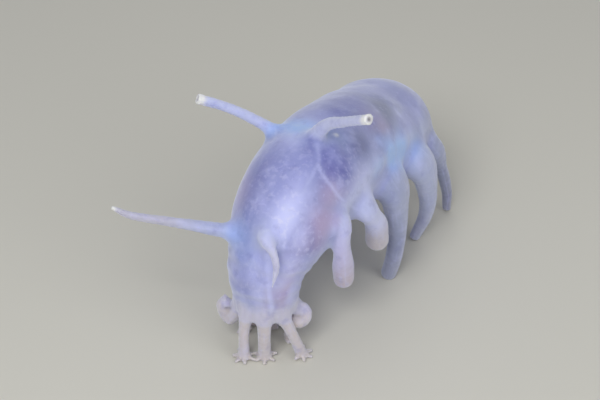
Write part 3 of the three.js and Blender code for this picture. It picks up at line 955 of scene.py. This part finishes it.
thickness = THICKNESSES[number]
limb_lay = [thickness * np.cos(round_limb), thickness * np.sin(round_limb), along_limb]
for name, value in (("lay", lay), ("limb_lay", np.stack(limb_lay, axis=-1))):
    attribute = mesh.attributes.new(name, "FLOAT_VECTOR", "POINT")
    attribute.data.foreach_set("vector", value.astype(np.float32).ravel())

mesh.polygons.foreach_set("use_smooth", np.ones(len(mesh.polygons), bool))
skin = bpy.data.objects.new("sea_pig_skin", mesh)
bpy.context.scene.collection.objects.link(skin)


# Flesh material


def colour(red, green, blue):
    """A screen colour, 0 to 255 each, as the linear values that a shader takes."""
    share = np.array([red, green, blue]) / 255
    linear = np.where(share <= 0.04045, share / 12.92, ((share + 0.055) / 1.055) ** 2.4)
    return (*linear, 1.0)


LAVENDER = colour(158, 164, 216)
MILKY = colour(207, 211, 252)
WHITISH = colour(226, 226, 250)
ROSY = colour(182, 161, 194)
VIOLET = colour(98, 102, 174)
GREY = colour(98, 105, 134)
# colour of the painted highlights
PAINTED_BLUE_HIGHLIGHT = colour(156, 192, 255)
PALE = colour(190, 198, 230)
CREAM = colour(201, 192, 190)
CHALK = colour(240, 240, 238)
# colour of the painted shade in pits and creases
PIT_SHADE = colour(70, 60, 84)
LAYERS = [  # attribute and colour, each laid over those before it
    ("pale", PALE),
    ("grey", GREY),
    ("violet", VIOLET),
    ("rosy", ROSY),
    ("milky", MILKY),
    # painted highlights
    ("blue_highlight", PAINTED_BLUE_HIGHLIGHT),
    ("cream", CREAM),
    ("chalk", CHALK),
    # painted shade
    ("pit", PIT_SHADE),
]
# Tissue that shows where an attribute is strong: the attribute, what it lies along, how that is
# stretched, the noise values between which it sets in, its strength and its colour
TISSUES = [
    ("speckled", "lay", (0.5, 0.5, 0.85), (0.48, 0.68), 0.45, WHITISH),
    ("limb", "limb_lay", (0.8, 0.8, 0.12), (0.5, 0.75), 0.25, MILKY),
]
# Mottling all over: features to a metre, detail, roughness, the noise values between which it
# sets in, its strength and its colour
MOTTLING = [
    (110, 3.0, 0.6, (0.5, 0.75), 0.3, MILKY),
    (200, 4.0, 0.6, (0.5, 0.75), 0.3, VIOLET),
    (620, 2.0, 0.5, (0.58, 0.75), 0.16, MILKY),
]
WETNESS_SCALE = 500
WETNESS_NOISE = (0.3, 0.7)
ROUGHNESS = (0.42, 0.6)
PORE_SCALE = 1400
PORE_STRENGTH = 0.22
PORE_DEPTH = 0.00025
FLESH_VALUES = {
    "Subsurface Weight": 0.85,
    "Subsurface Radius": (0.9, 0.85, 1.0),
    "Subsurface Scale": 0.0035,
    "Sheen Weight": 0.75,
    "Sheen Roughness": 0.55,
    "Sheen Tint": (0.85, 0.88, 1.0, 1.0),
    "Specular IOR Level": 0.3,
}


class Tree:
    """Short ways to add and join the nodes of a material."""

    def __init__(self, material):
        material.use_nodes = True
        self.nodes = material.node_tree.nodes
        self.links = material.node_tree.links
        self.shader = self.nodes["Principled BSDF"]

    def put(self, target, value):
        """Links an output to a socket, or sets the socket to a fixed value."""
        if isinstance(value, bpy.types.NodeSocket):
            self.links.new(value, target)
        else:
            target.default_value = value

    def attribute(self, name, output="Fac"):
        """One of the amounts or lies written on the skin's points."""
        node = self.nodes.new("ShaderNodeAttribute")
        node.attribute_name = name
        return node.outputs[output]

    def mix(self, share, first, second):
        """The first colour, covered by the second as much as the share says."""
        node = self.nodes.new("ShaderNodeMix")
        node.data_type = "RGBA"
        self.put(node.inputs["Factor"], share)
        self.put(node.inputs[6], first)
        self.put(node.inputs[7], second)
        return node.outputs[2]

    def product(self, first, second):
        """One value times another."""
        node = self.nodes.new("ShaderNodeMath")
        node.operation = "MULTIPLY"
        self.put(node.inputs[0], first)
        self.put(node.inputs[1], second)
        return node.outputs[0]

    def stretched(self, vector, scale):
        """A vector with each of its three parts scaled."""
        node = self.nodes.new("ShaderNodeVectorMath")
        node.operation = "MULTIPLY"
        self.put(node.inputs[0], vector)
        self.put(node.inputs[1], scale)
        return node.outputs[0]

    def noise(self, vector, scale, detail=2.0, roughness=0.5):
        """Cloudy values about a half, with scale features to a unit of the vector."""
        node = self.nodes.new("ShaderNodeTexNoise")
        self.put(node.inputs["Vector"], vector)
        node.inputs["Scale"].default_value = scale
        node.inputs["Detail"].default_value = detail
        node.inputs["Roughness"].default_value = roughness
        return node.outputs["Fac"]

    def ranged(self, value, low, high, to_low=0.0, to_high=1.0):
        """The value from low to high made a smooth step from to_low to to_high."""
        node = self.nodes.new("ShaderNodeMapRange")
        node.interpolation_type = "SMOOTHSTEP"
        limits = {"From Min": low, "From Max": high, "To Min": to_low, "To Max": to_high}
        for name, number in limits.items():
            node.inputs[name].default_value = number
        self.put(node.inputs["Value"], value)
        return node.outputs["Result"]

    def bump(self, height, strength, distance):
        """Normals that tilt as if the surface followed a height over the distance."""
        node = self.nodes.new("ShaderNodeBump")
        node.inputs["Strength"].default_value = strength
        node.inputs["Distance"].default_value = distance
        self.put(node.inputs["Height"], height)
        return node.outputs["Normal"]


def flesh():
    """Translucent flesh: the colour layers in turn, with painted highlights, painted shade and a
    painted glow among them, whitish specks and streaks along the limbs, mottling all over, light
    scattering inside and a pale bloom at the edges."""
    material = bpy.data.materials.new("sea_pig_flesh")
    tree = Tree(material)
    in_space = tree.nodes.new("ShaderNodeTexCoord").outputs["Object"]
    shade = LAVENDER
    for name, over in LAYERS:
        shade = tree.mix(tree.attribute(name), shade, over)
    for name, lie, scale, steps, strength, over in TISSUES:
        threads = tree.noise(tree.stretched(tree.attribute(lie, "Vector"), scale), 1.0)
        amount = tree.product(tree.ranged(threads, *steps, 0.0, strength), tree.attribute(name))
        shade = tree.mix(amount, shade, over)
    for scale, detail, roughness, steps, strength, over in MOTTLING:
        clouds = tree.noise(in_space, scale, detail, roughness)
        shade = tree.mix(tree.ranged(clouds, *steps, 0.0, strength), shade, over)
    tree.put(tree.shader.inputs["Base Color"], shade)
    wetness = tree.noise(in_space, WETNESS_SCALE, 3.0)
    tree.put(tree.shader.inputs["Roughness"], tree.ranged(wetness, *WETNESS_NOISE, *ROUGHNESS))
    pores = tree.noise(in_space, PORE_SCALE, 3.0)
    tree.put(tree.shader.inputs["Normal"], tree.bump(pores, PORE_STRENGTH, PORE_DEPTH))
    for name, value in FLESH_VALUES.items():
        tree.shader.inputs[name].default_value = value
    return material


skin.data.materials.append(flesh())
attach(skin, "root")
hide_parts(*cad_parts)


# Floor, lights and camera

FLOOR_SPAN = 8.0
FLOOR_COLOUR = colour(212, 210, 200)
FLOOR_ROUGHNESS = 0.9
LAMPS = [  # name, azimuth, elevation, distance, width and power
    ("key", 6, 44, 0.9, 0.45, 4.2),
    ("fill", 70, 32, 0.9, 0.6, 1.8),
    ("back", 200, 52, 1.0, 0.6, 0.9),
]
ROOM_COLOUR = colour(236, 238, 244)
ROOM_STRENGTH = 0.35
LOOK_AT = (0.0097, -0.0218, 0.0459)  # what lies at the middle of the picture
CAMERA_AZIMUTH = 25
CAMERA_ELEVATION = 35
CAMERA_DISTANCE = 0.6
CAMERA_LENS = 100


def lay_floor():
    """One large pale square at the height that the animal stands on."""
    half = FLOOR_SPAN / 2
    corners = [(-half, -half, 0), (half, -half, 0), (half, half, 0), (-half, half, 0)]
    floor_mesh = bpy.data.meshes.new("floor")
    floor_mesh.from_pydata(corners, [], [(0, 1, 2, 3)])
    material = bpy.data.materials.new("pale_floor")
    shader = Tree(material).shader
    shader.inputs["Base Color"].default_value = FLOOR_COLOUR
    shader.inputs["Roughness"].default_value = FLOOR_ROUGHNESS
    floor_mesh.materials.append(material)
    floor = bpy.data.objects.new("floor", floor_mesh)
    bpy.context.scene.collection.objects.link(floor)


def set_up(name, data, azimuth, elevation, distance):
    """Puts a lamp or a camera round the animal and turns it towards LOOK_AT. Azimuth 0 is in
    front of the head and 90 at the animal's left side, and elevation is over the floor."""
    a, e = math.radians(azimuth), math.radians(elevation)
    back = Vector((math.sin(a) * math.cos(e), -math.cos(a) * math.cos(e), math.sin(e)))
    held = bpy.data.objects.new(name, data)
    held.location = Vector(LOOK_AT) + back * distance
    held.rotation_mode = "QUATERNION"
    held.rotation_quaternion = back.to_track_quat("Z", "Y")
    bpy.context.scene.collection.objects.link(held)
    return held


lay_floor()
for name, azimuth, elevation, distance, width, power in LAMPS:
    lamp = bpy.data.lights.new(name, "AREA")
    lamp.size = width
    lamp.energy = power
    set_up(name, lamp, azimuth, elevation, distance)

world = bpy.data.worlds.new("pale_room")
world.use_nodes = True
world.node_tree.nodes["Background"].inputs["Color"].default_value = ROOM_COLOUR
world.node_tree.nodes["Background"].inputs["Strength"].default_value = ROOM_STRENGTH
bpy.context.scene.world = world
bpy.context.scene.view_settings.view_transform = "Standard"

camera_data = bpy.data.cameras.new("camera")
camera_data.lens = CAMERA_LENS
camera = set_up("camera", camera_data, CAMERA_AZIMUTH, CAMERA_ELEVATION, CAMERA_DISTANCE)
bpy.context.scene.camera = camera

bpy.context.view_layer.update()
